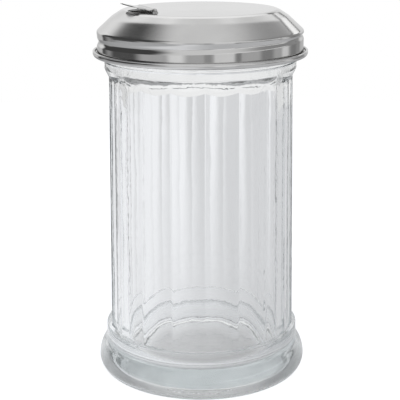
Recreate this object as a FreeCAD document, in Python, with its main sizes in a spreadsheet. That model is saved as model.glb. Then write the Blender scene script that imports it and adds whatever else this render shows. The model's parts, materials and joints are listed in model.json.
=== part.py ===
"""Sugar pourer: a fluted glass jar with a screw-on steel lid and a hinged pouring flap.

Millimetres, +Z up. The origin is on the jar's axis, on the surface that the foot stands on.
The pouring flap points along -X. Turning the lid anticlockwise from above unscrews it.
"""
import FreeCAD, Part
import os
import re
import Sketcher

V = FreeCAD.Vector
doc = FreeCAD.newDocument("sugar_pourer")

# name: value in millimetres, degrees or a plain count
DIMENSIONS = {
    # jar, outside
    "overall_height": 139.7,
    "foot_radius": 40.4,
    "foot_widest_height": 4.9,
    "foot_face_inner_radius": 33.0,
    "foot_face_outer_radius": 36.2,
    "foot_upper_arc": 10.5,
    "recess_depth": 2.4,
    "recess_slope": 2.6,
    "crease_height": 11.2,
    "crease_radius": 38.3,
    "ring_radius": 37.3,
    "ring_lower_height": 12.2,
    "ring_height": 18.2,
    # jar, panels
    "panel_count": 18,
    "panel_turn": 11.5,
    "ridge_radius_low": 35.8,
    "ridge_radius_high": 34.5,
    "panel_top_height": 115.2,
    # jar, neck
    "collar_radius": 35.8,
    "collar_low_height": 118.4,
    "collar_high_height": 121.2,
    "neck_radius": 35.3,
    "neck_low_height": 121.9,
    "neck_foot_sink": 1.0,
    "neck_foot_inset": 0.02,
    "rim_height": 133.2,
    "rim_round": 1.0,
    # jar, inside
    "floor_height": 7.4,
    "floor_round": 9.0,
    "cavity_radius_low": 31.6,
    "cavity_radius_high": 31.0,
    "mouth_radius": 31.2,
    # thread
    "thread_pitch": 5.08,
    "glass_thread_radius": 37.4,
    "glass_thread_start_height": 124.2,
    "glass_thread_start_turn": 55.8,
    "glass_thread_climb": 5.9,
    "thread_root_width": 2.2,
    "thread_crest_width": 1.0,
    "thread_bury": 0.4,
    "lid_rib_radius": 36.95,
    "lid_rib_root_width": 2.6,
    "lid_rib_crest_width": 0.8,
    "lid_groove_width": 2.0,
    "lid_groove_floor_width": 0.5,
    "lid_rib_start_height": 126.96,
    "lid_rib_start_turn": 69.0,
    "lid_rib_climb": 4.3,
    # lid
    "sheet_gauge": 0.5,
    "lid_top_radius": 28.2,
    "lid_slope_radius": 32.4,
    "lid_slope_height": 137.6,
    "lid_shoulder_radius": 37.4,
    "lid_shoulder_height": 132.9,
    "lid_skirt_radius": 38.3,
    "lid_skirt_high_height": 131.9,
    "lid_skirt_low_height": 126.8,
    "lid_shoulder_arc": 1.5,
    "lid_inner_top_step": 0.12,
    "lid_inner_slope_step": 0.29,
    "lid_inner_slope_drop": 0.41,
    "lid_inner_shoulder_step": 0.34,
    "lid_inner_shoulder_drop": 0.36,
    "bead_radius": 39.95,
    "bead_section": 1.25,
    "bead_height": 123.85,
    "opening_half_width": 7.6,
    "opening_reach": 28.1,
    "opening_inner_edge": 19.3,
    "opening_cut_depth": 5.0,
    "cut_overrun": 1.0,
    # hinge and flap
    "hinge_radius": 20.5,
    "flap_gap": 0.1,
    "pin_radius": 0.3,
    "pin_clearance": 0.05,
    "pin_head_radius": 0.55,
    "pin_head_length": 0.3,
    "ear_inside": 8.65,
    "ear_gauge": 0.5,
    "ear_root": 0.3,
    "ear_half_width": 1.2,
    "ear_round": 0.65,
    "knuckle_radius": 0.7,
    "knuckle_half_length": 8.4,
    "flap_half_width": 8.5,
    "flap_reach": 9.8,
    "flap_gauge": 0.35,
    "flap_rise": 0.1,
    "flap_raise": 12.0,
    # seal
    "seal_inner_radius": 31.4,
    "seal_outer_radius": 34.8,
    "seal_gauge": 1.0,
    "seal_gap": 0.05,
}


def make_sheet():
    """The spreadsheet of driving dimensions, one named cell each."""
    sheet = doc.addObject("Spreadsheet::Sheet", "Dims")
    for row, (name, size) in enumerate(DIMENSIONS.items(), start=1):
        sheet.set("A%d" % row, name)
        sheet.set("B%d" % row, str(size))
        sheet.setAlias("B%d" % row, name)
    doc.recompute()
    return sheet


SHEET = make_sheet()
HINGE_HEIGHT = "(overall_height + flap_gap + knuckle_radius)"


def bound(expression):
    """The expression with each of the spreadsheet's names written as Dims.name."""
    def prefix(word):
        return "Dims." + word.group() if word.group() in DIMENSIONS else word.group()
    return re.sub(r"[a-z_]+", prefix, expression)


def number(expression):
    """The present value of an expression on the spreadsheet's names."""
    return float(SHEET.evalExpression(bound(expression)))


def new_body(name):
    """An empty body whose label is its node's name."""
    body = doc.addObject("PartDesign::Body", name)
    body.Label = name
    return body


def new_sketch(body, name, role, offset=None, turn=None):
    """A sketch on one of the body's origin planes, moved off it or turned about Z."""
    sketch = body.newObject("Sketcher::SketchObject", name)
    plane = next(item for item in body.Origin.OriginFeatures if item.Role == role)
    sketch.AttachmentSupport = [(plane, "")]
    sketch.MapMode = "FlatFace"
    if offset:
        sketch.AttachmentOffset = FreeCAD.Placement(V(0, 0, number(offset)), FreeCAD.Rotation())
        sketch.setExpression("AttachmentOffset.Base.z", bound(offset))
    if turn:
        angle = FreeCAD.Rotation(V(0, 1, 0), number(turn))
        sketch.AttachmentOffset = FreeCAD.Placement(V(0, 0, 0), angle)
        sketch.setExpression("AttachmentOffset.Rotation.Angle", bound(turn))
    return sketch


def drive(sketch, constraint, name, expression):
    """Adds a dimension to a sketch and binds it to the spreadsheet."""
    index = sketch.addConstraint(constraint)
    sketch.renameConstraint(index, name)
    sketch.setExpression("Constraints." + name, bound(expression))


def pin_point(sketch, edge, end, across, up, name):
    """Holds one end of an edge at its distances from the sketch's origin."""
    for kind, expression in (("DistanceX", across), ("DistanceY", up)):
        constraint = Sketcher.Constraint(kind, -1, 1, edge, end, number(expression))
        drive(sketch, constraint, name + kind, expression)


def arc_between(start, end, bulge):
    """The arc of radius |bulge| from start to end, on the right of the way if bulge is positive."""
    chord = end - start
    half = chord.Length / 2
    sagitta = abs(bulge) - (bulge * bulge - half * half) ** 0.5
    side = V(chord.y, -chord.x, 0).normalize()
    middle = (start + end) * 0.5 + side * (sagitta if bulge > 0 else -sagitta)
    return Part.Arc(start, middle, end)


def outline(sketch, steps):
    """Draws a closed outline through steps of (across, up) or (across, up, bulge).

    A step's bulge is the radius of the arc that leads from it to the next step. It is positive
    where the arc lies on the right of the way.
    """
    points = [V(number(step[0]), number(step[1]), 0) for step in steps]
    edges = []
    for here, step in enumerate(steps):
        start = points[here]
        end = points[(here + 1) % len(points)]
        if len(step) == 2:
            edge = sketch.addGeometry(Part.LineSegment(start, end), False)
        else:
            edge = sketch.addGeometry(arc_between(start, end, number(step[2])), False)
        # an arc is always stored anticlockwise, so its ends may be swapped
        first = 1 if sketch.getPoint(edge, 1).distanceToPoint(start) < 1e-6 else 2
        edges.append((edge, first, 3 - first))
    for here, step in enumerate(steps):
        edge, first, last = edges[here]
        follower, follower_first, _ = edges[(here + 1) % len(edges)]
        sketch.addConstraint(Sketcher.Constraint("Coincident", edge, last, follower, follower_first))
        pin_point(sketch, edge, first, step[0], step[1], "step%d" % here)
        if len(step) == 3:
            radius = step[2].lstrip("-")
            constraint = Sketcher.Constraint("Radius", edge, number(radius))
            drive(sketch, constraint, "bulge%d" % here, radius)


def turned(body, name, steps, kind="PartDesign::Revolution", role="XZ_Plane"):
    """Turns an outline of (radius, along) steps about Z, or about Y from the XY plane."""
    sketch = new_sketch(body, name + "Outline", role)
    outline(sketch, steps)
    feature = body.newObject(kind, name)
    feature.Profile = sketch
    feature.ReferenceAxis = (sketch, ["V_Axis"])
    feature.Angle = 360
    return feature


def coiled(body, name, steps, start, climb, kind="PartDesign::AdditiveHelix"):
    """Sweeps an outline of (radius, height) steps up a right-hand helix about Z."""
    sketch = new_sketch(body, name + "Outline", "XZ_Plane", turn=start)
    outline(sketch, steps)
    feature = body.newObject(kind, name)
    feature.Profile = sketch
    feature.ReferenceAxis = (sketch, ["V_Axis"])
    feature.Mode = "pitch-height-angle"
    feature.Pitch = number("thread_pitch")
    feature.Height = number(climb)
    feature.Angle = 0
    feature.LeftHanded = False
    feature.Reversed = False
    feature.setExpression("Pitch", bound("thread_pitch"))
    feature.setExpression("Height", bound(climb))
    return feature


def pushed(body, name, sketch, depth, kind="PartDesign::Pad", reverse=False):
    """Pads a sketch, or pockets it, by a depth."""
    feature = body.newObject(kind, name)
    feature.Profile = sketch
    feature.Length = number(depth)
    feature.setExpression("Length", bound(depth))
    feature.Reversed = reverse
    return feature


def set_on_hinge(body, turn=None):
    """Places a body that was drawn about its own Y axis onto the flap's hinge axis."""
    angle = number(turn) if turn else 0
    place = V(number("-hinge_radius"), 0, number(HINGE_HEIGHT))
    body.Placement = FreeCAD.Placement(place, FreeCAD.Rotation(V(0, 1, 0), angle))
    body.setExpression("Placement.Base.x", bound("-hinge_radius"))
    body.setExpression("Placement.Base.z", bound(HINGE_HEIGHT))
    if turn:
        body.setExpression("Placement.Rotation.Angle", bound(turn))


def tongue(half_width, inner_edge, tip):
    """A tongue that points along -X, straight at its inner edge and round at its tip."""
    centre = "-(%s - %s)" % (tip, half_width)
    return [
        (inner_edge, "-" + half_width),
        (inner_edge, half_width),
        (centre, half_width, half_width),
        ("-" + tip, "0", half_width),
        (centre, "-" + half_width),
    ]


def panel_outline(body, name, radius, height):
    """The many-sided outline through the panel ridges, at one height."""
    sketch = new_sketch(body, name, "XY_Plane", offset=height)
    steps = []
    for ridge in range(int(number("panel_count"))):
        angle = "(panel_turn + %d * 360 / panel_count)" % ridge
        steps.append(("%s * cos(%s)" % (radius, angle), "%s * sin(%s)" % (radius, angle)))
    outline(sketch, steps)
    return sketch


def make_jar():
    """The glass jar: thick foot, base ring, tapered panels, collar, threaded neck and cavity."""
    body = new_body("glass_jar")
    turned(body, "Foot", [
        ("0", "recess_depth"),
        ("foot_face_inner_radius - recess_slope", "recess_depth"),
        ("foot_face_inner_radius", "0"),
        ("foot_face_outer_radius", "0", "foot_widest_height"),
        ("foot_radius", "foot_widest_height", "foot_upper_arc"),
        ("crease_radius", "crease_height"),
        ("ring_radius", "ring_lower_height"),
        ("ring_radius", "ring_height"),
        ("0", "ring_height"),
    ])
    lower = panel_outline(body, "PanelsLow", "ridge_radius_low", "ring_height")
    upper = panel_outline(body, "PanelsHigh", "ridge_radius_high", "panel_top_height")
    panels = body.newObject("PartDesign::AdditiveLoft", "Panels")
    panels.Profile = lower
    panels.Sections = [upper]
    panels.Ruled = True
    doc.recompute()
    neck_foot = "(panel_top_height - neck_foot_sink)"
    turned(body, "Neck", [
        ("0", neck_foot),
        ("ridge_radius_high * cos(180 / panel_count) - neck_foot_inset", neck_foot),
        ("collar_radius", "collar_low_height"),
        ("collar_radius", "collar_high_height"),
        ("neck_radius", "neck_low_height"),
        ("neck_radius", "rim_height - rim_round", "rim_round"),
        ("neck_radius - rim_round", "rim_height"),
        ("0", "rim_height"),
    ])
    thread_foot = "neck_radius - thread_bury"
    coiled(body, "Thread", [
        (thread_foot, "glass_thread_start_height - thread_root_width / 2"),
        ("glass_thread_radius", "glass_thread_start_height - thread_crest_width / 2"),
        ("glass_thread_radius", "glass_thread_start_height + thread_crest_width / 2"),
        (thread_foot, "glass_thread_start_height + thread_root_width / 2"),
    ], "glass_thread_start_turn", "glass_thread_climb")
    doc.recompute()
    turned(body, "Cavity", [
        ("0", "floor_height"),
        ("cavity_radius_low - floor_round", "floor_height", "floor_round"),
        ("cavity_radius_low", "floor_height + floor_round"),
        ("cavity_radius_high", "panel_top_height"),
        ("mouth_radius", "rim_height + cut_overrun"),
        ("0", "rim_height + cut_overrun"),
    ], "PartDesign::Groove")
    return body


def make_seal():
    """The flat ring between the jar's rim and the lid."""
    ring = doc.addObject("Part::Cylinder", "SealRing")
    hole = doc.addObject("Part::Cylinder", "SealHole")
    for disc, radius in ((ring, "seal_outer_radius"), (hole, "seal_inner_radius")):
        disc.setExpression("Radius", bound(radius))
        disc.setExpression("Height", bound("seal_gauge"))
        disc.setExpression("Placement.Base.z", bound("rim_height + seal_gap"))
    seal = doc.addObject("Part::Cut", "lid_seal")
    seal.Base = ring
    seal.Tool = hole
    seal.Label = "lid_seal"
    return seal


def make_lid():
    """The drawn steel lid: flat top, sloped shoulder, rolled thread, bead, opening and ears."""
    body = new_body("lid")
    inner_skirt = "lid_skirt_radius - sheet_gauge"
    bead_middle = "bead_radius - bead_section"
    turned(body, "Shell", [
        ("0", "overall_height - sheet_gauge"),
        ("lid_top_radius - lid_inner_top_step", "overall_height - sheet_gauge"),
        ("lid_slope_radius - lid_inner_slope_step", "lid_slope_height - lid_inner_slope_drop"),
        ("lid_shoulder_radius - lid_inner_shoulder_step",
         "lid_shoulder_height - lid_inner_shoulder_drop", "-(lid_shoulder_arc - sheet_gauge)"),
        (inner_skirt, "lid_skirt_high_height"),
        (inner_skirt, "bead_height", "bead_section"),
        (bead_middle, "bead_height - bead_section", "bead_section"),
        ("bead_radius", "bead_height", "bead_section"),
        (bead_middle, "bead_height + bead_section"),
        ("lid_skirt_radius", "lid_skirt_low_height"),
        ("lid_skirt_radius", "lid_skirt_high_height", "lid_shoulder_arc"),
        ("lid_shoulder_radius", "lid_shoulder_height"),
        ("lid_slope_radius", "lid_slope_height"),
        ("lid_top_radius", "overall_height"),
        ("0", "overall_height"),
    ])
    rib_middle = "lid_rib_start_height"
    rib_foot = "lid_skirt_radius - sheet_gauge / 2"
    coiled(body, "ThreadRib", [
        ("lid_rib_radius", rib_middle + " - lid_rib_crest_width / 2"),
        (rib_foot, rib_middle + " - lid_rib_root_width / 2"),
        (rib_foot, rib_middle + " + lid_rib_root_width / 2"),
        ("lid_rib_radius", rib_middle + " + lid_rib_crest_width / 2"),
    ], "lid_rib_start_turn", "lid_rib_climb")
    doc.recompute()
    groove_floor = "lid_rib_radius + sheet_gauge"
    groove_mouth = "lid_skirt_radius + sheet_gauge"
    coiled(body, "ThreadGroove", [
        (groove_floor, rib_middle + " - lid_groove_floor_width / 2"),
        (groove_mouth, rib_middle + " - lid_groove_width / 2"),
        (groove_mouth, rib_middle + " + lid_groove_width / 2"),
        (groove_floor, rib_middle + " + lid_groove_floor_width / 2"),
    ], "lid_rib_start_turn", "lid_rib_climb", "PartDesign::SubtractiveHelix")
    doc.recompute()
    for side, offset in (("Near", "ear_inside"), ("Far", "-(ear_inside + ear_gauge)")):
        ear = new_sketch(body, side + "EarOutline", "XZ_Plane", offset=offset)
        outline(ear, [
            ("-(hinge_radius + ear_half_width)", "overall_height - ear_root"),
            ("-(hinge_radius - ear_half_width)", "overall_height - ear_root"),
            ("-(hinge_radius - ear_round)", HINGE_HEIGHT, "ear_round"),
            ("-hinge_radius", HINGE_HEIGHT + " + ear_round", "ear_round"),
            ("-(hinge_radius + ear_round)", HINGE_HEIGHT),
        ])
        pushed(body, side + "Ear", ear, "ear_gauge")
        doc.recompute()
    opening = new_sketch(body, "OpeningOutline", "XY_Plane", offset="overall_height + cut_overrun")
    outline(opening, tongue("opening_half_width", "-opening_inner_edge", "opening_reach"))
    pushed(body, "Opening", opening, "opening_cut_depth", "PartDesign::Pocket")
    doc.recompute()
    hole_start = "(ear_inside + cut_overrun)"
    hole = new_sketch(body, "PinHoleOutline", "XZ_Plane", offset="-" + hole_start)
    circle = hole.addGeometry(Part.Circle(V(0, 0, 0), V(0, 0, 1), number("pin_radius")), False)
    pin_point(hole, circle, 3, "-hinge_radius", HINGE_HEIGHT, "centre")
    bore = "pin_radius + pin_clearance"
    drive(hole, Sketcher.Constraint("Radius", circle, number(bore)), "bore", bore)
    pushed(body, "PinHole", hole, "2 * " + hole_start, "PartDesign::Pocket", reverse=True)
    return body


def make_pin():
    """The hinge pin, with a small flattened head outside each ear."""
    body = new_body("hinge_pin")
    end = "(ear_inside + ear_gauge + pin_clearance + pin_head_length)"
    neck = "(ear_inside + ear_gauge + pin_clearance)"
    turned(body, "Pin", [
        ("0", "-" + end),
        ("pin_head_radius", "-" + end),
        ("pin_head_radius", "-" + neck),
        ("pin_radius", "-" + neck),
        ("pin_radius", neck),
        ("pin_head_radius", neck),
        ("pin_head_radius", end),
        ("0", end),
    ], role="XY_Plane")
    set_on_hinge(body)
    return body


def make_flap():
    """The pouring flap: a flat tongue whose inner end is curled round the pin."""
    body = new_body("pour_flap")
    turned(body, "Knuckle", [
        ("pin_radius + pin_clearance", "-knuckle_half_length"),
        ("knuckle_radius", "-knuckle_half_length"),
        ("knuckle_radius", "knuckle_half_length"),
        ("pin_radius + pin_clearance", "knuckle_half_length"),
    ], role="XY_Plane")
    doc.recompute()
    blade = new_sketch(body, "BladeOutline", "XY_Plane", offset="flap_rise - flap_gauge / 2")
    blade_root = "-(pin_radius + pin_clearance + knuckle_radius) / 2"
    outline(blade, tongue("flap_half_width", blade_root, "flap_reach"))
    pushed(body, "Blade", blade, "flap_gauge")
    set_on_hinge(body, "flap_raise")
    return body


def check_and_write(parts):
    """Stops on any failed object or bad shape, then writes each part's STEP file."""
    doc.recompute()
    for item in doc.Objects:
        if "Invalid" in item.State or "Error" in item.State:
            raise RuntimeError("%s failed: %s" % (item.Name, item.State))
    for part in parts:
        if part.Shape.isNull() or not part.Shape.isValid() or len(part.Shape.Solids) != 1:
            raise RuntimeError(part.Label + " is not one sound solid")
    os.makedirs("parts", exist_ok=True)
    for part in parts:
        part.Shape.exportStep("parts/%s.step" % part.Label)
        box = part.Shape.optimalBoundingBox()
        print("%-12s %9.1f mm3  z %.2f to %.2f"
              % (part.Label, part.Shape.Volume, box.ZMin, box.ZMax))


check_and_write([make_jar(), make_seal(), make_lid(), make_pin(), make_flap()])
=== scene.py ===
"""Looks for the fluted glass sugar pourer: glass jar, polished lid, pouring flap, pin and seal.

Metres, in the CAD frame. Heights and radii are written in millimetres and scaled by MM.
"""
import json
import math

import bpy
import numpy as np
from mathutils import Euler, Matrix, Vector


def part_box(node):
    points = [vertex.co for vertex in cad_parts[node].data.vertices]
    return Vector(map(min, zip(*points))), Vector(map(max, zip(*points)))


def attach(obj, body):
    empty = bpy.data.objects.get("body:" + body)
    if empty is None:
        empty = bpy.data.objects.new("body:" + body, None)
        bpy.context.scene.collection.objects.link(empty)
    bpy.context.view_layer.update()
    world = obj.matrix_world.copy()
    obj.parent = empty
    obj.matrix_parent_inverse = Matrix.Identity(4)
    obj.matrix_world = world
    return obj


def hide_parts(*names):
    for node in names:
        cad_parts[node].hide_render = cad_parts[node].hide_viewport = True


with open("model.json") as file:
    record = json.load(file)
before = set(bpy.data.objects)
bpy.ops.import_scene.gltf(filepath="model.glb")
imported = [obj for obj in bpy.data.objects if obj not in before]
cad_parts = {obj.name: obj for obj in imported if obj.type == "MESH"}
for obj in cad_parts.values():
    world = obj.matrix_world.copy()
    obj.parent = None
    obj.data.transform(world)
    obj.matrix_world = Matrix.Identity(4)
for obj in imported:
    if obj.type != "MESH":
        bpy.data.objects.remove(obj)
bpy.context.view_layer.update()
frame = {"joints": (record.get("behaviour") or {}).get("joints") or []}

MM = 0.001

# where the CAD puts things
HINGE = next(joint for joint in frame["joints"] if joint["name"] == "flap_hinge")["pos_m"]
HINGE_R, HINGE_Z = -HINGE[0] / MM, HINGE[2] / MM
JAR_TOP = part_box("glass_jar")[1].z / MM
SEAL_LOW, SEAL_HIGH = (corner.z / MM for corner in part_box("lid_seal"))

# jar, millimetres
PANELS = 18
PANEL_TURN = 11.5
PANEL_STEPS, PANEL_CROWDING = 16, 1.35
RIDGE_LOW, RIDGE_HIGH = 35.8, 34.5  # radii at the ledge and at RIDGE_TOP_Z
RIDGE_ROUND = 0.12
PANEL_HOLLOW = 0.10
LEDGE_Z, LEDGE_FILLET = 18.2, 0.3
PANEL_TOP_Z, RIDGE_TOP_Z = 114.5, 115.2
FLARE_R = 33.95
COLLAR_R, COLLAR_LOW, COLLAR_HIGH = 35.8, 118.4, 121.2
COLLAR_LOW_ROUND, COLLAR_HIGH_ROUND, COLLAR_HIGH_DROP = 0.4, 0.55, 0.5
NECK_R = 35.3
RING_R, RING_ROUND = 37.3, 0.35
RING_LOW_R, RING_LOW_Z = 37.42, 12.6
FOOT_R, FOOT_Z = 40.38, 4.9
FOOT_SHOULDER = 10.5
STAND_IN, STAND_OUT = 33.2, 36.2
RECESS_R, RECESS_Z, RECESS_ROUND = 29.6, 2.4, 1.5
RECESS_SLOPE = (31.3, 1.55), (32.6, 0.2)
WAIST_R, WAIST_Z, WAIST_ROUND = 38.55, 12.15, 1.0
FLOOR_Z, FLOOR_ROUND = 7.4, 9.0
CAVITY_LOW_R, CAVITY_HIGH_R, CAVITY_TOP_Z = 31.6, 31.0, 116.0
MIDDLE_R = 0.4
MOUTH_R = 31.2
RIM_OUTSIDE, RIM_INSIDE = 1.0, 1.2
HAIR = 0.02  # kept clear between a surface and the CAD's own
THREAD_R = 37.4
MATT_LOW, MATT_HIGH, MATT_ROUGHNESS = 2.0, 2.7, 0.38  # below MATT_LOW the surface is matt
PITCH = 5.08
THREAD_START, THREAD_START_Z, THREAD_SWEEP = 55.8, 124.2, 418.0
THREAD_HALF, THREAD_FADE = 1.35, 20.0

# lid, millimetres
SHEET = 0.5
TOP_Z, TOP_R, TOP_ROUND = 139.7, 28.4, 2.6
CREASE_R, CREASE_Z, CREASE_ROUND = 29.7, 139.13, 0.15
SLOPE_R, SLOPE_Z, SLOPE_ROUND = 32.8, 137.15, 8.0
SHOULDER_Z, SHOULDER_ROUND = 132.1, 1.2
SKIRT_R, SKIRT_TOP_Z = 38.3, 131.35
LIP_R, LIP_Z, LIP_GAP, LIP_GAUGE = 39.95, 124.65, 0.75, 0.85
CURL_Z, CURL_BOTTOM = 123.95, 122.72
CURL_OUTSIDE, CURL_INSIDE = 1.25, 0.9
GROOVE_START, GROOVE_START_Z, GROOVE_SWEEP = 69.0, 126.96, 304.7
GROOVE_DEPTH, GROOVE_TAPER = 0.36, 0.24
GROOVE_BELOW, GROOVE_ABOVE, GROOVE_FADE = 1.8, 1.5, 38.0
HOLE_HALF, HOLE_REACH, HOLE_INNER, HOLE_CORNER = 7.6, 27.65, 19.3, 1.2
TOP_MARGIN = 0.65
LID_STEPS, LID_CROWDING = 320, 0.45

# flap, millimetres
FLAP_HALF, FLAP_REACH, FLAP_GAUGE, FLAP_SLOPE = 8.5, 9.8, 0.33, 0.192
BLADE_ROOT, BLADE_HEIGHT, BLADE_BEND = 1.75, 0.19, 0.0042
TIP_LIP, TIP_BEND = 1.3, 0.055
KNUCKLE_R, KNUCKLE_BORE, KNUCKLE_HALF = 0.7, 0.35, 8.4
KNUCKLE_START, KNUCKLE_END = -42, -305

# hinge pin, its ears and the seal, millimetres
PIN_R, PIN_HEAD_R, PIN_HEAD = 0.3, 0.55, 0.3
PIN_DOME_R, PIN_DOME = 0.25, 0.12
PIN_CLEARANCE = 0.05
EAR_IN, EAR_GAUGE, EAR_HALF, EAR_ROUND, EAR_BEVEL = 8.65, 0.5, 1.2, 0.65, 0.07
SEAL_IN, SEAL_OUT, SEAL_ROUND = 31.4, 34.8, 0.22

# finishes: each material varies between two colours, and the glass absorbs a little
STEEL_COLOURS = (0.60, 0.598, 0.595, 1), (0.68, 0.678, 0.675, 1)
WIRE_COLOURS = (0.45, 0.445, 0.44, 1), (0.62, 0.615, 0.61, 1)
SEAL_COLOURS = (0.62, 0.61, 0.58, 1), (0.72, 0.71, 0.68, 1)
STEEL_ROUGHNESS, SHOULDER_ROUGHER = 0.07, 0.09
GLASS_IOR, GLASS_TINT, GLASS_DENSITY = 1.52, (0.64, 0.70, 0.715, 1), 15.5

# camera: metres, degrees, and millimetres for the lens and the sensor
CAMERA_TURN, CAMERA_DIP, CAMERA_ROLL, CAMERA_ASIDE = -21.0, 15.39, -0.25, 0.05
CAMERA_AWAY, CAMERA_UP = 0.4129, 0.1801
CAMERA_LENS, CAMERA_SENSOR = 99.8, 36.0

# table top: its radius in millimetres, and how strongly it glows; lower glows paint shade on it, towards
# the camera's right, at the far left and under the jar
TABLE_R, TABLE_STEPS = 600.0, 96
TABLE_GLOW_LEFT, TABLE_SHADED_GLOW_RIGHT = 0.82, 0.535
TABLE_SHADED_GLOW_FAR_LEFT, TABLE_SHADOW_GLOW_UNDER = 0.5, 0.6
# where the glow changes, in metres: from side to side, at the far left, and out from the jar's axis
TABLE_SIDES, TABLE_FAR_LEFT, TABLE_UNDER = (-0.06, 0.045), (-0.20, -0.08), (0.018, 0.034)

# studio: the room's own light, and what the glass sees instead of it and to what share
ROOM_LIGHT = 0.5
GLASS_LIGHT, GLASS_SHARE = 0.86, 0.75
# panels of light: brightness, azimuth, half width, softness, elevation, half height, softness
STUDIO = [
    (0.82, 0, 62, 40, 40, 200, 20),
    (0.07, -92, 46, 16, 26, 44, 12),
    (0.07, -116, 22, 2, 26, 44, 12),
    (0.34, 100, 34, 20, 16, 34, 14),
    (0.82, 0, 360, 10, 90, 26, 14),
    (0.90, 183, 39, 5, -30, 30, 2),
    (1.02, 183, 39, 5, 9, 11, 3),
    (1.32, 183, 37, 8, 34, 32, 5),
    (0.25, 149, 16, 2, 20, 7, 1.2),
    (1.7, 149, 12, 2, 20, 4.5, 1.2),
    (1.3, 62, 48, 6, 11, 3, 1.5),
    # the room past the table's front edge
    (0.50, 0, 125, 12, -16, 18, 3),
    (0.10, -94, 22, 8, -16, 20, 3),
    (0.92, -26, 9, 5, -16, 18, 3),
    (0.36, 8, 4, 2, -16, 18, 3),
    (0.82, 26, 11, 2, -16, 18, 3),
    (0.28, 42, 3, 2, -16, 18, 3),
    (0.28, 78, 9, 4, -16, 18, 3),
    (0.82, 107, 6, 3, -16, 18, 3),
    (0.30, 124, 7, 4, -16, 18, 3),
]


# ---------------------------------------------------------------- mesh helpers

def arc(centre, radii, start, end, steps):
    """Points of an arc or part ellipse about centre, from start to end in degrees."""
    angles = np.radians(np.linspace(start, end, steps))
    return [(centre[0] + radii[0] * math.cos(a), centre[1] + radii[1] * math.sin(a)) for a in angles]


def line(start, end, steps):
    """Evenly spaced points from start to end, both ends included."""
    return [tuple(np.array(start) + (np.array(end) - np.array(start)) * k / (steps - 1))
            for k in range(steps)]


def make_mesh(name, points, faces, smooth_angle=30.0):
    """A mesh object from points in millimetres, smooth except over sharp edges."""
    mesh = bpy.data.meshes.new(name)
    mesh.from_pydata([tuple(p) for p in np.asarray(points) * MM], [], faces)
    mesh.validate()
    mesh.polygons.foreach_set("use_smooth", [True] * len(mesh.polygons))
    mesh.set_sharp_from_angle(angle=math.radians(smooth_angle))
    mesh.update()
    piece = bpy.data.objects.new(name, mesh)
    bpy.context.scene.collection.objects.link(piece)
    return piece


def ring_faces(first, second, count):
    """The quads between two closed rings of vertices, given by their first indices."""
    return [(first + k, first + (k + 1) % count, second + (k + 1) % count, second + k)
            for k in range(count)]


def ring_grid(rings):
    """Points and faces of closed rings, each an array of (x, y, z) rows, one after another."""
    count = len(rings[0])
    points = np.concatenate(rings)
    faces = []
    for row in range(len(rings) - 1):
        faces += ring_faces(row * count, (row + 1) * count, count)
    return points, faces


def ring_of(radius, height, angles):
    """A ring of points at angles in radians. Radius and height are numbers or arrays."""
    radius = np.broadcast_to(radius, angles.shape)
    height = np.broadcast_to(height, angles.shape)
    return np.stack([radius * np.cos(angles), radius * np.sin(angles), height], 1)


def smooth_step(x):
    """0 below 0, 1 above 1, and a smooth S between."""
    x = np.clip(x, 0.0, 1.0)
    return x * x * (3 - 2 * x)


def helix_bump(angles, height):
    """How strongly the neck's thread stands at each angle (radians) and height, from 0 to 1."""
    turn = (np.degrees(angles) - THREAD_START) % 360.0
    total = np.zeros_like(turn)
    for lap in range(2):
        along = turn + 360.0 * lap
        middle = THREAD_START_Z + PITCH * along / 360.0
        across = np.clip(np.abs(height - middle) / THREAD_HALF, 0, 1)
        ends = smooth_step(along / THREAD_FADE) * smooth_step((THREAD_SWEEP - along) / THREAD_FADE)
        ends = np.where((along >= 0) & (along <= THREAD_SWEEP), ends, 0.0)
        total = np.maximum(total, ends * 0.5 * (1 + np.cos(np.pi * across)))
    return total


# ---------------------------------------------------------------- jar

def panel_angles():
    """Ring angles in radians, denser towards the ridges between panels."""
    spread = np.linspace(-1, 1, PANEL_STEPS + 1)[:-1]
    within = np.sign(spread) * (1 - (1 - np.abs(spread)) ** PANEL_CROWDING)
    step = 360.0 / PANELS
    degrees = [PANEL_TURN + step * (k + 0.5) + within * step / 2 for k in range(PANELS)]
    return np.radians(np.concatenate(degrees))


def panel_radius(angles, ridge):
    """The fluted outline: flat panels, a little hollow, with softly rounded ridges."""
    step = math.radians(360.0 / PANELS)
    off = (angles - math.radians(PANEL_TURN)) % step - step / 2
    flat = ridge * math.cos(step / 2)
    here = flat / np.cos(off)
    neighbour = flat / np.cos(step - np.abs(off))
    blend = np.clip(0.5 + 0.5 * (neighbour - here) / RIDGE_ROUND, 0, 1)
    outline = neighbour * (1 - blend) + here * blend - RIDGE_ROUND * blend * (1 - blend)
    hollow = PANEL_HOLLOW * np.cos(off / (step / 2) * math.pi / 2) ** 2
    return outline - hollow


def jar_foot_section():
    """The underside from its middle, the foot and the ring above it, as (radius, height)."""
    under = line((MIDDLE_R, RECESS_Z), (RECESS_R, RECESS_Z), 8)
    under += arc((RECESS_R, RECESS_Z - RECESS_ROUND), (RECESS_ROUND, RECESS_ROUND), 80, 48, 4)
    under += line(*RECESS_SLOPE, 4) + line((STAND_IN, 0.0), (STAND_OUT, 0.0), 5)
    foot = arc((STAND_OUT, FOOT_Z), (FOOT_R - STAND_OUT, FOOT_Z), -84, 0, 24)
    foot += arc((FOOT_R - FOOT_SHOULDER, FOOT_Z), (FOOT_SHOULDER, FOOT_SHOULDER), 2, 36, 16)
    waist = arc((WAIST_R, WAIST_Z), (WAIST_ROUND, WAIST_ROUND), 205, 178, 4)
    ring = line((RING_LOW_R, RING_LOW_Z), (RING_R - 0.05, LEDGE_Z - 0.8), 5)
    ring += arc((RING_R - RING_ROUND, LEDGE_Z - RING_ROUND), (RING_ROUND - 0.05, RING_ROUND), 8, 90, 6)
    return under + foot + waist + ring


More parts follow.
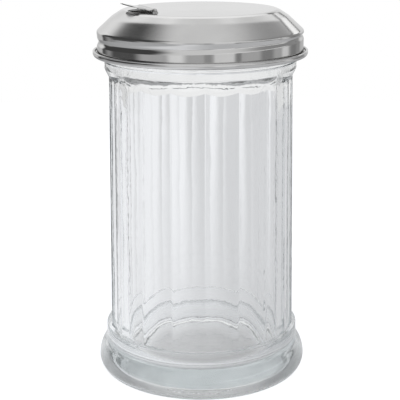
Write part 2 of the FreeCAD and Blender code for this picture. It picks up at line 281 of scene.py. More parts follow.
def ridge_at(height):
    """Radius of the ridges between panels, which lean in towards the top."""
    return RIDGE_LOW + (RIDGE_HIGH - RIDGE_LOW) * (height - LEDGE_Z) / (RIDGE_TOP_Z - LEDGE_Z)


def flare(height):
    """Radius of the flare between the panels and the collar."""
    return FLARE_R + (COLLAR_R - FLARE_R) * (height - PANEL_TOP_Z) / (COLLAR_LOW - PANEL_TOP_Z)


def panel_rings(angles):
    """Rings from the ledge up the panels and out along the flare under the collar."""
    rings = []
    # the ledge runs in to the panels through a small fillet
    for share in (0.0, 0.35, 0.7, 1.0):
        height = LEDGE_Z + LEDGE_FILLET * (1 - math.cos(share * math.pi / 2))
        inset = LEDGE_FILLET * (1 - math.sin(share * math.pi / 2))
        rings.append(ring_of(panel_radius(angles, ridge_at(height)) + inset, height, angles))
    # the line where the flare comes out of the panels, found by stepping towards it
    edge = np.full_like(angles, PANEL_TOP_Z)
    for _ in range(30):
        gap = panel_radius(angles, ridge_at(edge)) - flare(edge)
        edge = edge + gap / 0.5
    for share in list(np.linspace(0.01, 0.98, 26)) + [1.0]:
        height = (LEDGE_Z + LEDGE_FILLET) + (edge - LEDGE_Z - LEDGE_FILLET) * share
        rings.append(ring_of(panel_radius(angles, ridge_at(height)), height, angles))
    for share in (0.08, 0.2, 0.4, 0.6, 0.8, 0.93):
        height = edge + (COLLAR_LOW - edge) * share
        rings.append(ring_of(flare(height), height, angles))
    return rings


def collar_section():
    """The plain band above the flare, its lower and upper edges rounded."""
    low, high, drop = COLLAR_LOW_ROUND, COLLAR_HIGH_ROUND, COLLAR_HIGH_DROP
    collar = arc((COLLAR_R - low, COLLAR_LOW + 0.15), (low, low), -25, 0, 4)
    collar += line((COLLAR_R, COLLAR_LOW + 0.5), (COLLAR_R, COLLAR_HIGH - drop - 0.1), 4)
    collar += arc((COLLAR_R - high, COLLAR_HIGH - drop), (high, drop), 10, 90, 7)
    return collar


def neck_rings(angles):
    """Rings of the neck under the lid, with its screw thread."""
    rings = []
    for z in np.linspace(COLLAR_HIGH + 0.25, JAR_TOP - 1.1, 44):
        rib = helix_bump(angles, z)
        neck = NECK_R - 0.05 * smooth_step((z - COLLAR_HIGH) / 0.8)
        rings.append(ring_of(neck + (THREAD_R - NECK_R - HAIR) * rib, z, angles))
    return rings


def jar_inside_section():
    """The rounded rim, the cavity's wall and its floor, in to the middle."""
    outer, inner = RIM_OUTSIDE, RIM_INSIDE
    inside = arc((NECK_R - outer - 0.1, JAR_TOP - outer - HAIR), (outer, outer), 8, 88, 8)
    inside += arc((MOUTH_R + inner, JAR_TOP - inner - HAIR), (inner, inner), 92, 178, 8)
    inside += line((MOUTH_R, JAR_TOP - 2 * inner - 0.1), (CAVITY_HIGH_R, CAVITY_TOP_Z), 6)
    inside += line((CAVITY_HIGH_R, CAVITY_TOP_Z - 2.0), (CAVITY_LOW_R, FLOOR_Z + FLOOR_ROUND), 20)
    inside += arc((CAVITY_LOW_R - FLOOR_ROUND, FLOOR_Z + FLOOR_ROUND),
                  (FLOOR_ROUND, FLOOR_ROUND), -3, -90, 20)
    inside += line((22.0, FLOOR_Z), (MIDDLE_R, FLOOR_Z), 8)
    return inside


def jar_rings():
    """Rings of the jar from the middle of its underside, up the outside and down the inside."""
    angles = panel_angles()
    rings = [ring_of(r, z, angles) for r, z in jar_foot_section()]
    rings += panel_rings(angles)
    rings += [ring_of(r, z, angles) for r, z in collar_section()]
    rings += neck_rings(angles)
    rings += [ring_of(r, z, angles) for r, z in jar_inside_section()]
    return rings


def make_jar():
    """The pressed-glass jar, one closed mesh."""
    rings = jar_rings()
    points, faces = ring_grid(rings)
    count = len(rings[0])
    faces.append(tuple(range(count))[::-1])
    last = (len(rings) - 1) * count
    faces.append(tuple(range(last, last + count)))
    piece = make_mesh("jar_glass", points, faces, smooth_angle=28.0)
    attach(piece, "jar")
    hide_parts("glass_jar")
    return piece


# ---------------------------------------------------------------- lid

def rounded(corners):
    """A section as points: corners are (r, z, fillet radius), each fillet drawn as an arc."""
    points = [corners[0][:2]]
    for before, here, after in zip(corners, corners[1:], corners[2:]):
        spot = np.array(here[:2])
        back = np.array(before[:2]) - spot
        ahead = np.array(after[:2]) - spot
        back, ahead = back / np.linalg.norm(back), ahead / np.linalg.norm(ahead)
        half = math.acos(np.clip(back @ ahead, -1, 1)) / 2
        reach = here[2] / math.tan(half)
        middle = spot + (back + ahead) / np.linalg.norm(back + ahead) * here[2] / math.sin(half)
        first = np.array(spot + back * reach - middle)
        last = np.array(spot + ahead * reach - middle)
        steps = max(3, int(math.degrees(math.pi - 2 * half) / 3.5))
        for k in range(steps + 1):
            mix = first * (1 - k / steps) + last * (k / steps)
            points.append(tuple(middle + mix / np.linalg.norm(mix) * here[2]))
    points.append(corners[-1][:2])
    return points


def spaced(points, step):
    """The same section with extra points, so that no two are further apart than step."""
    result = [points[0]]
    for start, end in zip(points, points[1:]):
        parts = max(1, math.ceil(math.dist(start, end) / step))
        result += [tuple(np.array(start) + (np.array(end) - np.array(start)) * (k + 1) / parts)
                   for k in range(parts)]
    return result


def offset_inwards(points, gauge):
    """The section moved by gauge to the right of its direction of travel."""
    points = np.array(points)
    along = np.gradient(points, axis=0)
    along /= np.linalg.norm(along, axis=1)[:, None]
    return points + gauge * np.stack([along[:, 1], -along[:, 0]], 1)


def lid_angles():
    """Ring angles in radians, closer together beside the pouring hole at 180 degrees."""
    even = np.linspace(0, 2 * np.pi, LID_STEPS, endpoint=False)
    return even + LID_CROWDING * np.sin(even)


def hole_edge(angles, rim_radius):
    """The D-shaped hole's edge, met on straight lines from its middle to the disc's rim."""
    middle = np.array([-(HOLE_INNER + HOLE_REACH) / 2, 0.0])
    rim = rim_radius * np.stack([np.cos(angles), np.sin(angles)], 1)
    towards = (rim - middle) / np.linalg.norm(rim - middle, axis=1)[:, None]
    near, far = np.zeros(len(angles)), np.full(len(angles), 12.0)
    for _ in range(40):
        trial = (near + far) / 2
        spot = middle + towards * trial[:, None]
        disc = np.hypot(spot[:, 0] + HOLE_REACH - HOLE_HALF, spot[:, 1]) - HOLE_HALF
        straight = HOLE_INNER + spot[:, 0]
        corner = np.hypot(np.maximum(disc + HOLE_CORNER, 0), np.maximum(straight + HOLE_CORNER, 0))
        both = (disc > -HOLE_CORNER) & (straight > -HOLE_CORNER)
        outside = np.where(both, corner - HOLE_CORNER, np.maximum(disc, straight))
        near = np.where(outside < 0, trial, near)
        far = np.where(outside < 0, far, trial)
    return middle + towards * ((near + far) / 2)[:, None]


def groove_middle(angles):
    """Height of the rolled groove's floor at each angle (radians), and how deep it is, 0 to 1."""
    along = (np.degrees(angles) - GROOVE_START) % 360.0
    rest = np.clip((along - GROOVE_SWEEP) / (360.0 - GROOVE_SWEEP), 0, 1)
    climb = PITCH / 360.0
    height = GROOVE_START_Z + climb * np.minimum(along, GROOVE_SWEEP) * (1 - smooth_step(rest))
    ends = smooth_step(along / GROOVE_FADE) * smooth_step((GROOVE_SWEEP - along) / GROOVE_FADE)
    return np.minimum(height, SKIRT_TOP_Z - 0.55), ends


def lid_section():
    """The lid's outer section above the groove, from the flat top's rim to the skirt."""
    corners = [(TOP_R - TOP_MARGIN, TOP_Z, 0), (TOP_R, TOP_Z, TOP_ROUND),
               (CREASE_R, CREASE_Z, CREASE_ROUND),
               (SLOPE_R, SLOPE_Z, SLOPE_ROUND), (SKIRT_R, SHOULDER_Z, SHOULDER_ROUND),
               (SKIRT_R, SKIRT_TOP_Z, 0)]
    return spaced(rounded(corners), 0.3)


def skirt_rings(angles, inset):
    """Rings of the skirt from under the shoulder down to the curl, with the groove in them."""
    floor, ends = groove_middle(angles)
    rings = []

    def ring(height, above, below):
        """One ring at a height: above is mm over the groove's floor, below a share of its lower side."""
        near = np.where(above > 0, np.minimum(above / GROOVE_ABOVE, 1), np.minimum(below, 1))
        bump = 0.5 * (1 + np.cos(np.pi * near))
        taper = np.where(above > 0, 1 - above / (SKIRT_TOP_Z - floor), bump)
        depth = ends * (GROOVE_DEPTH * bump + GROOVE_TAPER * taper)
        rings.append(ring_of(SKIRT_R - inset - depth, height, angles))

    for share in np.linspace(1, 0, 19)[1:]:
        above = (SKIRT_TOP_Z - floor) * share
        ring(floor + above, above, np.zeros_like(floor))
    for share in np.linspace(0, 1, 16)[1:]:
        ring(floor - GROOVE_BELOW * share, np.zeros_like(floor), np.full_like(floor, share))
    low = floor - GROOVE_BELOW
    bottom = LIP_Z + 0.1
    for share in np.linspace(0, 1, 9)[1:]:
        ring(low + (bottom - low) * share, np.zeros_like(floor), np.ones_like(floor))
    return rings


def curl_section():
    """The open curl at the bottom edge, from the skirt's outside round the lip to its inside."""
    gap_middle = SKIRT_R + LIP_GAP / 2
    lip_middle = LIP_R - LIP_GAUGE / 2
    section = line((SKIRT_R, LIP_Z - 0.2), (SKIRT_R, CURL_Z + 0.3), 3)
    section += arc((gap_middle, CURL_Z + 0.2), (LIP_GAP / 2, 0.35), 190, 350, 10)
    section += line((LIP_R - LIP_GAUGE, CURL_Z + 0.4), (LIP_R - LIP_GAUGE, LIP_Z - 0.1), 3)
    section += arc((lip_middle, LIP_Z), (LIP_GAUGE / 2, 0.32), 170, 10, 9)
    curl_middle = LIP_R - CURL_OUTSIDE
    section += arc((curl_middle, CURL_Z), (CURL_OUTSIDE, CURL_Z - CURL_BOTTOM), 24, -90, 22)
    section += arc((curl_middle, CURL_Z), (CURL_INSIDE, CURL_Z - CURL_BOTTOM), -100, -178, 8)
    return section


def lid_rings():
    """Closed rings of the lid's sheet: hole, top, outside, curl, inside, and back to the hole."""
    angles = lid_angles()
    outer = np.array(lid_section())
    inner = offset_inwards(outer, SHEET)[::-1]

    def top(height, rim_radius, shares):
        """Rings of a flat face from the hole's edge, at share 0, to the rim, at share 1."""
        edge = hole_edge(angles, rim_radius)
        rim = ring_of(rim_radius, height, angles)
        rings = []
        for share in shares:
            ring = rim * share
            ring[:, :2] += edge * (1 - share)
            ring[:, 2] = height
            rings.append(ring)
        return rings

    shares = [0.004, 0.012, 0.03, 0.07, 0.14, 0.24, 0.36, 0.5, 0.64, 0.78, 0.9]
    rings = top(TOP_Z, outer[0][0], shares)
    rings += [ring_of(r, z, angles) for r, z in outer]
    rings += skirt_rings(angles, 0.0)
    rings += [ring_of(r, z, angles) for r, z in curl_section()]
    rings += skirt_rings(angles, SHEET)[::-1]
    rings += [ring_of(r, z, angles) for r, z in inner]
    rings += top(TOP_Z - SHEET, inner[-1][0], shares[::-1])
    for height in (TOP_Z - SHEET + 0.07, TOP_Z - SHEET / 2, TOP_Z - 0.07):
        rings.append(np.column_stack([hole_edge(angles, outer[0][0]), np.full(len(angles), height)]))
    return rings


def closed_loft(rings):
    """Points and faces of closed rings whose last joins on to the first."""
    points, faces = ring_grid(rings)
    count = len(rings[0])
    faces += ring_faces((len(rings) - 1) * count, 0, count)
    return points, faces


def make_lid():
    """The lid's drawn steel shell, one closed mesh with its pouring hole and open curl."""
    points, faces = closed_loft(lid_rings())
    piece = make_mesh("lid_shell", points, faces, smooth_angle=40.0)
    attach(piece, "lid")
    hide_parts("lid")
    return piece


def ear_rings(inside, outside):
    """A pierced-up ear: its rounded outline and its bore, in two planes square to the pin."""
    turn = np.linspace(0, 2 * np.pi, 72, endpoint=False)
    foot = HINGE_Z - TOP_Z + 0.2
    side = np.array([EAR_HALF - EAR_ROUND, -foot])
    side_normal = np.array([foot, EAR_HALF - EAR_ROUND]) / np.linalg.norm(side)
    away = np.abs(np.cos(turn)) * side_normal[0] + np.sin(turn) * side_normal[1]
    to_side = EAR_ROUND * side_normal[0] / np.maximum(away, 1e-3)
    to_foot = foot / np.maximum(-np.sin(turn), 1e-3)
    reach = np.where(np.sin(turn) > 0, EAR_ROUND, np.minimum(to_side, to_foot))

    def ring(radius, y):
        return np.stack([-HINGE_R + radius * np.cos(turn), np.full_like(turn, y),
                         HINGE_Z + radius * np.sin(turn)], 1)

    bevel = math.copysign(EAR_BEVEL, outside - inside)
    bore = np.full_like(turn, PIN_R + PIN_CLEARANCE)
    return [ring(bore, inside), ring(reach - EAR_BEVEL, inside), ring(reach, inside + bevel),
            ring(reach, outside - bevel), ring(reach - EAR_BEVEL, outside), ring(bore, outside)]


def make_ears():
    """The two hinge ears, one each side of the flap."""
    for name, side in (("ear_near", -1), ("ear_far", 1)):
        rings = ear_rings(side * EAR_IN, side * (EAR_IN + EAR_GAUGE))
        points, faces = closed_loft(rings if side > 0 else rings[::-1])
        piece = make_mesh(name, points, faces, smooth_angle=35.0)
        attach(piece, "lid")
        yield piece


# ---------------------------------------------------------------- flap, pin and seal

def flap_rows():
    """The flap's middle line from the curl's free edge to the tip, as (distance, height)."""
    middle = (KNUCKLE_R + KNUCKLE_BORE) / 2
    curl = arc((0.0, 0.0), (middle, middle), KNUCKLE_START, KNUCKLE_END, 46)
    leave = np.array(curl[-1])
    root = np.array([BLADE_ROOT, BLADE_HEIGHT])
    heading = np.array([0.82, -0.57]) * 0.9
    landing = np.array([0.99, FLAP_SLOPE]) * 0.9
    rows = list(curl)
    for t in np.linspace(0, 1, 10)[1:]:
        spot = ((2 * t**3 - 3 * t**2 + 1) * leave + (t**3 - 2 * t**2 + t) * heading
                + (3 * t**2 - 2 * t**3) * root + (t**3 - t**2) * landing)
        rows.append(tuple(spot))
    return rows


def blade_height(distance):
    """Height of the blade's middle above the pin's axis, bending up towards the tip lip."""
    run = distance - BLADE_ROOT
    lip = max(distance - (FLAP_REACH - TIP_LIP), 0.0)
    return BLADE_HEIGHT + FLAP_SLOPE * run + BLADE_BEND * run**2 + TIP_BEND * lip**2


def flap_grid():
    """The flap's middle surface: rows from the curl's free edge to the tip, side to side."""
    across = np.sin(np.linspace(-1, 1, 65) * np.pi / 2)
    grid = []
    for distance, height in flap_rows():
        grid.append([(-HINGE_R - distance, KNUCKLE_HALF * c, HINGE_Z + height) for c in across])
    straight = FLAP_REACH - FLAP_HALF
    for share in np.linspace(0, 1, 34)[1:]:
        row = []
        for c in across:
            reach = straight + FLAP_HALF * math.sqrt(max(0.0, 1 - c * c))
            reach = max(reach, BLADE_ROOT + 0.2)
            distance = BLADE_ROOT + (reach - BLADE_ROOT) * share
            half = KNUCKLE_HALF + (FLAP_HALF - KNUCKLE_HALF) * min(1, share * 6)
            row.append((-HINGE_R - distance, half * c, HINGE_Z + blade_height(distance)))
        grid.append(row)
    return np.array(grid)


def sheet_from(grid, gauge):
    """Points and faces of a closed sheet of the given gauge, laid about a grid of points."""
    along = np.gradient(grid, axis=0)
    sideways = np.gradient(grid, axis=1)
    normal = np.cross(sideways, along)
    normal /= np.linalg.norm(normal, axis=2)[:, :, None]
    top, bottom = grid + normal * gauge / 2, grid - normal * gauge / 2
    rows, columns = grid.shape[:2]
    points = np.concatenate([top.reshape(-1, 3), bottom.reshape(-1, 3)])
    under = rows * columns
    faces = []
    for i in range(rows - 1):
        for j in range(columns - 1):
            a = i * columns + j
            faces.append((a, a + columns, a + columns + 1, a + 1))
            faces.append((under + a, under + a + 1, under + a + columns + 1, under + a + columns))
    border = [i * columns for i in range(rows)] + [(rows - 1) * columns + j for j in range(1, columns)]
    border += [i * columns + columns - 1 for i in range(rows - 2, -1, -1)]
    border += list(range(columns - 2, 0, -1))
    for here, after in zip(border, border[1:] + border[:1]):
        faces.append((here, under + here, under + after, after))
    return points, faces


def make_flap():
    """The stamped flap: one sheet, curled round the pin at its inner end."""
    points, faces = sheet_from(flap_grid(), FLAP_GAUGE)
    piece = make_mesh("flap_blade", points, faces, smooth_angle=50.0)
    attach(piece, "flap")
    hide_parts("pour_flap")
    return piece


def make_pin():
    """The wire pin, with a peened head outside each ear."""
    turn = np.linspace(0, 2 * np.pi, 48, endpoint=False)
    ear = EAR_IN + EAR_GAUGE + PIN_CLEARANCE
    head = arc((PIN_DOME_R, ear + PIN_DOME), (PIN_HEAD_R - PIN_DOME_R, PIN_HEAD - PIN_DOME), 0, 90, 7)
    half = [(PIN_R, 0.0), (PIN_R, ear - 0.01), (PIN_R + 0.02, ear), (PIN_HEAD_R - 0.08, ear)]
    half += head + [(0.03, ear + PIN_HEAD)]
    section = [(r, -y) for r, y in half[:0:-1]] + half
    rings = []
    for radius, y in section:
        rings.append(np.stack([-HINGE_R + radius * np.cos(turn), np.full_like(turn, y),
                               HINGE_Z + radius * np.sin(turn)], 1)[::-1])
    points, faces = ring_grid(rings)
    count, last = len(turn), (len(rings) - 1) * len(turn)
    faces += [tuple(range(count))[::-1], tuple(range(last, last + count))]
    piece = make_mesh("hinge_wire", points, faces, smooth_angle=35.0)
    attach(piece, "lid")
    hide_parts("hinge_pin")
    return piece


def make_seal():
    """The flat rubber ring under the lid's top, its edges a little rounded."""
    angles = np.linspace(0, 2 * np.pi, 192, endpoint=False)
    inner, outer = SEAL_IN + SEAL_ROUND, SEAL_OUT - SEAL_ROUND
    low, high = SEAL_LOW + SEAL_ROUND, SEAL_HIGH - SEAL_ROUND
    section = []
    for centre, start in (((outer, low), -90), ((outer, high), 0),
                          ((inner, high), 90), ((inner, low), 180)):
        section += arc(centre, (SEAL_ROUND, SEAL_ROUND), start, start + 90, 5)
    points, faces = closed_loft([ring_of(r, z, angles) for r, z in section])
    piece = make_mesh("seal_ring", points, faces, smooth_angle=40.0)
    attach(piece, "seal")
    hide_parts("lid_seal")
    return piece


# ---------------------------------------------------------------- node helpers

def new_material(name):
    """A material of the given name, with its nodes, its links and its shader."""
    material = bpy.data.materials.new(name)
    material.use_nodes = True
    nodes, links = material.node_tree.nodes, material.node_tree.links
    shader = nodes["Principled BSDF"]
    return material, nodes, links, shader


def feed(links, socket, value):
    """Give a socket a number of its own, or link another node's output to it."""
    if isinstance(value, bpy.types.NodeSocket):
        links.new(value, socket)
    else:
        socket.default_value = value


def math_node(nodes, links, operation, *values):
    """The output of a Math node whose inputs are numbers or other nodes' outputs."""
    made = nodes.new("ShaderNodeMath")
    made.operation = operation
    for socket, value in zip(made.inputs, values):
        feed(links, socket, value)
    return made.outputs["Value"]


def map_range(nodes, links, value, start, end, low=0.0, high=1.0, kind="SMOOTHSTEP"):
    """The value mapped from start .. end to low .. high, and held there beyond them."""
    ranged = nodes.new("ShaderNodeMapRange")
    ranged.interpolation_type = kind
    ranged.inputs["From Min"].default_value = start
    ranged.inputs["From Max"].default_value = end
    ranged.inputs["To Min"].default_value = low
    ranged.inputs["To Max"].default_value = high
    links.new(value, ranged.inputs["Value"])
    return ranged.outputs["Result"]


def mixed(nodes, links, kind, factor, first, second):
    """first where the factor is 0, second where it is 1: FLOAT numbers or RGBA colours."""
    mix = nodes.new("ShaderNodeMix")
    mix.data_type = kind
    links.new(factor, mix.inputs["Factor"])
    feed(links, mix.inputs["A"], first)
    feed(links, mix.inputs["B"], second)
    return mix.outputs["Result"]


def place_parts(nodes, links, coordinates="Object", turn=0.0):
    """X, Y and Z of the point being shaded, turned about Z by turn degrees."""
    vector = nodes.new("ShaderNodeTexCoord").outputs[coordinates]
    if turn:
        turned = nodes.new("ShaderNodeVectorRotate")
        turned.rotation_type = "Z_AXIS"
        turned.inputs["Angle"].default_value = math.radians(turn)
        links.new(vector, turned.inputs["Vector"])
        vector = turned.outputs["Vector"]
    parts = nodes.new("ShaderNodeSeparateXYZ")
    links.new(vector, parts.inputs["Vector"])
    return [parts.outputs[name] for name in "XYZ"]


def from_axis(nodes, links, x, y):
    """Distance from the Z axis."""
    squares = [math_node(nodes, links, "MULTIPLY", part, part) for part in (x, y)]
    return math_node(nodes, links, "SQRT", math_node(nodes, links, "ADD", *squares))


def noise(nodes, links, scale, detail=2.0, stretch=(1, 1, 1)):
    """A noise texture in object coordinates, in metres, and its factor output."""
    place = nodes.new("ShaderNodeTexCoord")
    sizing = nodes.new("ShaderNodeMapping")
    sizing.inputs["Scale"].default_value = stretch
    texture = nodes.new("ShaderNodeTexNoise")
    texture.inputs["Scale"].default_value = scale
    texture.inputs["Detail"].default_value = detail
    links.new(place.outputs["Object"], sizing.inputs["Vector"])
    links.new(sizing.outputs["Vector"], texture.inputs["Vector"])
    return texture.outputs["Fac"]


def spread(nodes, links, factor, low, high):
    """A noise factor mapped from 0.3 .. 0.7, where most of it lies, to low .. high."""
    return map_range(nodes, links, factor, 0.3, 0.7, low, high, "LINEAR")


def bumped(nodes, links, height, strength, distance, after=None):
    """A normal bumped by the height, over another bumped normal where after is given."""
    bump = nodes.new("ShaderNodeBump")
    bump.inputs["Strength"].default_value = strength
    bump.inputs["Distance"].default_value = distance
    links.new(height, bump.inputs["Height"])
    if after:
        links.new(after, bump.inputs["Normal"])
    return bump.outputs["Normal"]


# ---------------------------------------------------------------- materials

def glass_material():
    """Pressed soda glass: clear, a little teal in its thickness, its faces faintly wavy."""
    material, nodes, links, shader = new_material("pressed_glass")
    shader.inputs["Base Color"].default_value = (1, 1, 1, 1)
    shader.inputs["Transmission Weight"].default_value = 1.0
    shader.inputs["IOR"].default_value = GLASS_IOR
    waves = noise(nodes, links, 90.0, 1.0, (1, 1, 0.35))
    ripples = noise(nodes, links, 420.0, 2.0, (1, 1, 0.5))
    normal = bumped(nodes, links, waves, 1.0, 0.0003)
    normal = bumped(nodes, links, ripples, 1.0, 0.00003, normal)
    links.new(normal, shader.inputs["Normal"])
    rough = spread(nodes, links, noise(nodes, links, 60.0, 3.0), 0.0, 0.02)
    # the underside keeps the mould's matt surface
    height = place_parts(nodes, links)[2]
    matt = map_range(nodes, links, height, MATT_HIGH * MM, MATT_LOW * MM, 0.0, MATT_ROUGHNESS)
    links.new(math_node(nodes, links, "MAXIMUM", rough, matt), shader.inputs["Roughness"])
    absorb = nodes.new("ShaderNodeVolumeAbsorption")
    absorb.inputs["Color"].default_value = GLASS_TINT
    absorb.inputs["Density"].default_value = GLASS_DENSITY
    links.new(absorb.outputs["Volume"], nodes["Material Output"].inputs["Volume"])
    return material


def steel_material():
    """Buffed stainless sheet: near-mirror, with fine buffing lines and a faint roll of the sheet."""
    material, nodes, links, shader = new_material("buffed_steel")
    shader.inputs["Metallic"].default_value = 1.0
    shader.inputs["Specular Tint"].default_value = (0.62, 0.62, 0.62, 1)
    shader.inputs["Anisotropic"].default_value = 0.9
    shader.inputs["Anisotropic Rotation"].default_value = 0.25
    colour = mixed(nodes, links, "RGBA", noise(nodes, links, 150.0, 4.0), *STEEL_COLOURS)
    links.new(colour, shader.inputs["Base Color"])
    around = nodes.new("ShaderNodeTangent")
    around.direction_type = "RADIAL"
    around.axis = "Z"
    links.new(around.outputs["Tangent"], shader.inputs["Tangent"])

    # fine lines that run round the lid's axis, as left by buffing on a lathe
    x, y, z = place_parts(nodes, links)
    rings = nodes.new("ShaderNodeCombineXYZ")
    links.new(from_axis(nodes, links, x, y), rings.inputs["X"])
    links.new(z, rings.inputs["Z"])
    lines = nodes.new("ShaderNodeTexNoise")
    lines.inputs["Scale"].default_value = 1600.0
    lines.inputs["Detail"].default_value = 2.0
    links.new(rings.outputs["Vector"], lines.inputs["Vector"])

    # the shoulder is buffed less finely than the top and the skirt
    over_skirt = map_range(nodes, links, z, (SHOULDER_Z - 0.4) * MM, (SHOULDER_Z + 1.0) * MM)
    on_top = map_range(nodes, links, z, (CREASE_Z - 0.1) * MM, CREASE_Z * MM)
    shoulder = math_node(nodes, links, "MULTIPLY", over_skirt,
                         math_node(nodes, links, "SUBTRACT", 1.0, on_top))
    rougher = math_node(nodes, links, "MULTIPLY", shoulder, SHOULDER_ROUGHER)
    rough = math_node(nodes, links, "ADD", rougher, STEEL_ROUGHNESS)
    buffing = spread(nodes, links, lines.outputs["Fac"], -0.01, 0.01)
    links.new(math_node(nodes, links, "ADD", rough, buffing), shader.inputs["Roughness"])
    roll = noise(nodes, links, 70.0, 1.0)
    normal = bumped(nodes, links, roll, 0.5, 0.0001)
    normal = bumped(nodes, links, lines.outputs["Fac"], 0.3, 0.000003, normal)
    links.new(normal, shader.inputs["Normal"])
    return material


def wire_material():
    """Drawn steel wire: a duller steel, with fine marks along its length."""
    material, nodes, links, shader = new_material("drawn_wire")
    shader.inputs["Metallic"].default_value = 1.0
    marks = noise(nodes, links, 2500.0, 2.0, (1, 0.05, 1))
    links.new(mixed(nodes, links, "RGBA", marks, *WIRE_COLOURS), shader.inputs["Base Color"])
    links.new(spread(nodes, links, marks, 0.22, 0.38), shader.inputs["Roughness"])
    links.new(bumped(nodes, links, marks, 0.5, 0.00001), shader.inputs["Normal"])
    return material


def seal_material():
    """Off-white moulded rubber with a fine grain."""
    material, nodes, links, shader = new_material("seal_rubber")
    grain = noise(nodes, links, 700.0, 4.0)
    links.new(mixed(nodes, links, "RGBA", grain, *SEAL_COLOURS), shader.inputs["Base Color"])
    links.new(spread(nodes, links, grain, 0.5, 0.7), shader.inputs["Roughness"])
    links.new(bumped(nodes, links, grain, 0.6, 0.00003), shader.inputs["Normal"])
    return material


def floor_material():
    """A plain pale surface that glows a little, so that the glass hardly shades it."""
    material, nodes, links, shader = new_material("pale_floor")
    shader.inputs["Base Color"].default_value = (0.2, 0.2, 0.2, 1)
    shader.inputs["Emission Color"].default_value = (0.965, 0.975, 1, 1)
    shader.inputs["Roughness"].default_value = 0.9
    shader.inputs["Specular IOR Level"].default_value = 0.0
    path = nodes.new("ShaderNodeLightPath")
    x, y, _ = place_parts(nodes, links, turn=-CAMERA_TURN)
    # painted shade: the side to the camera's right glows a little less, which shades the glass from side
    # to side
    side = map_range(nodes, links, x, *TABLE_SIDES, TABLE_GLOW_LEFT, TABLE_SHADED_GLOW_RIGHT)
    # painted shade: the far left glows less, for the lid's skirt, but not for the light that reaches the
    # glass
    far_left = map_range(nodes, links, x, *TABLE_FAR_LEFT, TABLE_SHADED_GLOW_FAR_LEFT, 1.0)
    far_left = math_node(nodes, links, "MAXIMUM", far_left, path.outputs["Is Transmission Ray"])
    # painted shadow: the floor glows less under the jar's middle, where the jar keeps light from it
    radius = from_axis(nodes, links, x, y)
    under = map_range(nodes, links, radius, *TABLE_UNDER, TABLE_SHADOW_GLOW_UNDER, 1.0)
    glow = math_node(nodes, links, "MULTIPLY", side, far_left)
    glow = math_node(nodes, links, "MULTIPLY", glow, under)
    seen = mixed(nodes, links, "FLOAT", path.outputs["Is Camera Ray"], glow, 1.0)
    links.new(seen, shader.inputs["Emission Strength"])
    return material


# ---------------------------------------------------------------- studio

def make_camera():
    """The camera, to the object's front left and a little above it, with a slight roll."""
    turn = math.radians(CAMERA_TURN)
    data = bpy.data.cameras.new("camera")
    data.sensor_width = CAMERA_SENSOR
    data.lens = CAMERA_LENS
    data.clip_start = 0.01
    data.clip_end = 50.0
    camera = bpy.data.objects.new("camera", data)
    camera.location = (CAMERA_AWAY * math.sin(turn), -CAMERA_AWAY * math.cos(turn), CAMERA_UP)
    facing = Euler((math.radians(90 - CAMERA_DIP), 0, math.radians(CAMERA_TURN + CAMERA_ASIDE)))
    roll = Matrix.Rotation(math.radians(CAMERA_ROLL), 3, "Z")
    camera.rotation_euler = (facing.to_matrix() @ roll).to_euler()
    bpy.context.scene.collection.objects.link(camera)
    bpy.context.scene.camera = camera


def make_floor():
    """A round pale table top. Past its edge the white backdrop carries on."""
    angles = np.linspace(0, 2 * np.pi, TABLE_STEPS, endpoint=False)
    floor = make_mesh("floor", ring_of(TABLE_R, 0.0, angles), [tuple(range(TABLE_STEPS))])
    floor.data.materials.append(floor_material())


def soft_edge(nodes, links, off, half, soft):
    """1 where off is nearer to 0 than half, 0 beyond it, with a soft edge, all in degrees."""
    off = math_node(nodes, links, "ABSOLUTE", off)
    return map_range(nodes, links, off, half + soft, half - soft)


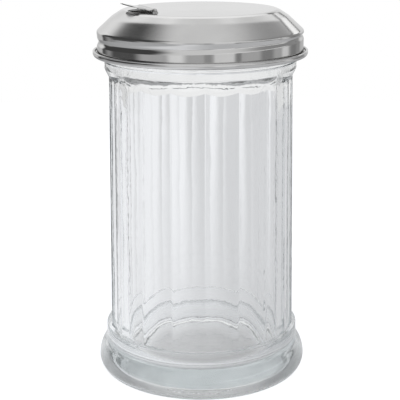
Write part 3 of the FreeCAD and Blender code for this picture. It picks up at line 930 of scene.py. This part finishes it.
def make_world():
    """A studio around the object: white backdrop behind, grey room at the sides, pale above.

    Brightness is set by direction, with azimuth 0 towards the camera's side and + to its right.
    What the camera sees beyond the floor is plain white.
    """
    world = bpy.data.worlds.new("studio")
    world.use_nodes = True
    nodes, links = world.node_tree.nodes, world.node_tree.links
    x, y, z = place_parts(nodes, links, "Generated", -CAMERA_TURN)
    towards = math_node(nodes, links, "MULTIPLY", y, -1.0)
    azimuth = math_node(nodes, links, "MULTIPLY", math_node(nodes, links, "ARCTAN2", x, towards),
                        180 / math.pi)
    elevation = math_node(nodes, links, "MULTIPLY", math_node(nodes, links, "ARCSINE", z),
                          180 / math.pi)

    light = ROOM_LIGHT
    for brightness, aside, half_aside, soft_aside, up, half_up, soft_up in STUDIO:
        off_aside = math_node(nodes, links, "SUBTRACT", azimuth, aside)
        off_aside = math_node(nodes, links, "WRAP", off_aside, 180.0, -180.0)
        off_up = math_node(nodes, links, "SUBTRACT", elevation, up)
        panel = math_node(nodes, links, "MULTIPLY",
                          soft_edge(nodes, links, off_aside, half_aside, soft_aside),
                          soft_edge(nodes, links, off_up, half_up, soft_up))
        light = mixed(nodes, links, "FLOAT", panel, light, brightness)

    # the dark sides are there for the lid; the glass sees them much lighter
    path = nodes.new("ShaderNodeLightPath")
    share = math_node(nodes, links, "MULTIPLY", path.outputs["Is Transmission Ray"], GLASS_SHARE)
    light = mixed(nodes, links, "FLOAT", share, light, GLASS_LIGHT)
    light = mixed(nodes, links, "FLOAT", path.outputs["Is Camera Ray"], light, 1.0)
    links.new(light, nodes["Background"].inputs["Strength"])
    nodes["Background"].inputs["Color"].default_value = (1, 1, 1, 1)
    bpy.context.scene.world = world


def finish_piece(piece, material):
    """Give a piece its one material."""
    piece.data.materials.clear()
    piece.data.materials.append(material)


def main():
    """The camera, the surroundings and every piece."""
    make_camera()
    make_world()
    make_floor()
    steel = steel_material()
    finish_piece(make_jar(), glass_material())
    finish_piece(make_lid(), steel)
    for ear in make_ears():
        finish_piece(ear, steel)
    finish_piece(make_flap(), steel)
    finish_piece(make_pin(), wire_material())
    finish_piece(make_seal(), seal_material())
    bpy.context.scene.view_settings.view_transform = "Standard"
    bpy.context.scene.cycles.max_bounces = 32
    bpy.context.scene.cycles.transmission_bounces = 32
    bpy.context.scene.cycles.glossy_bounces = 12


main()
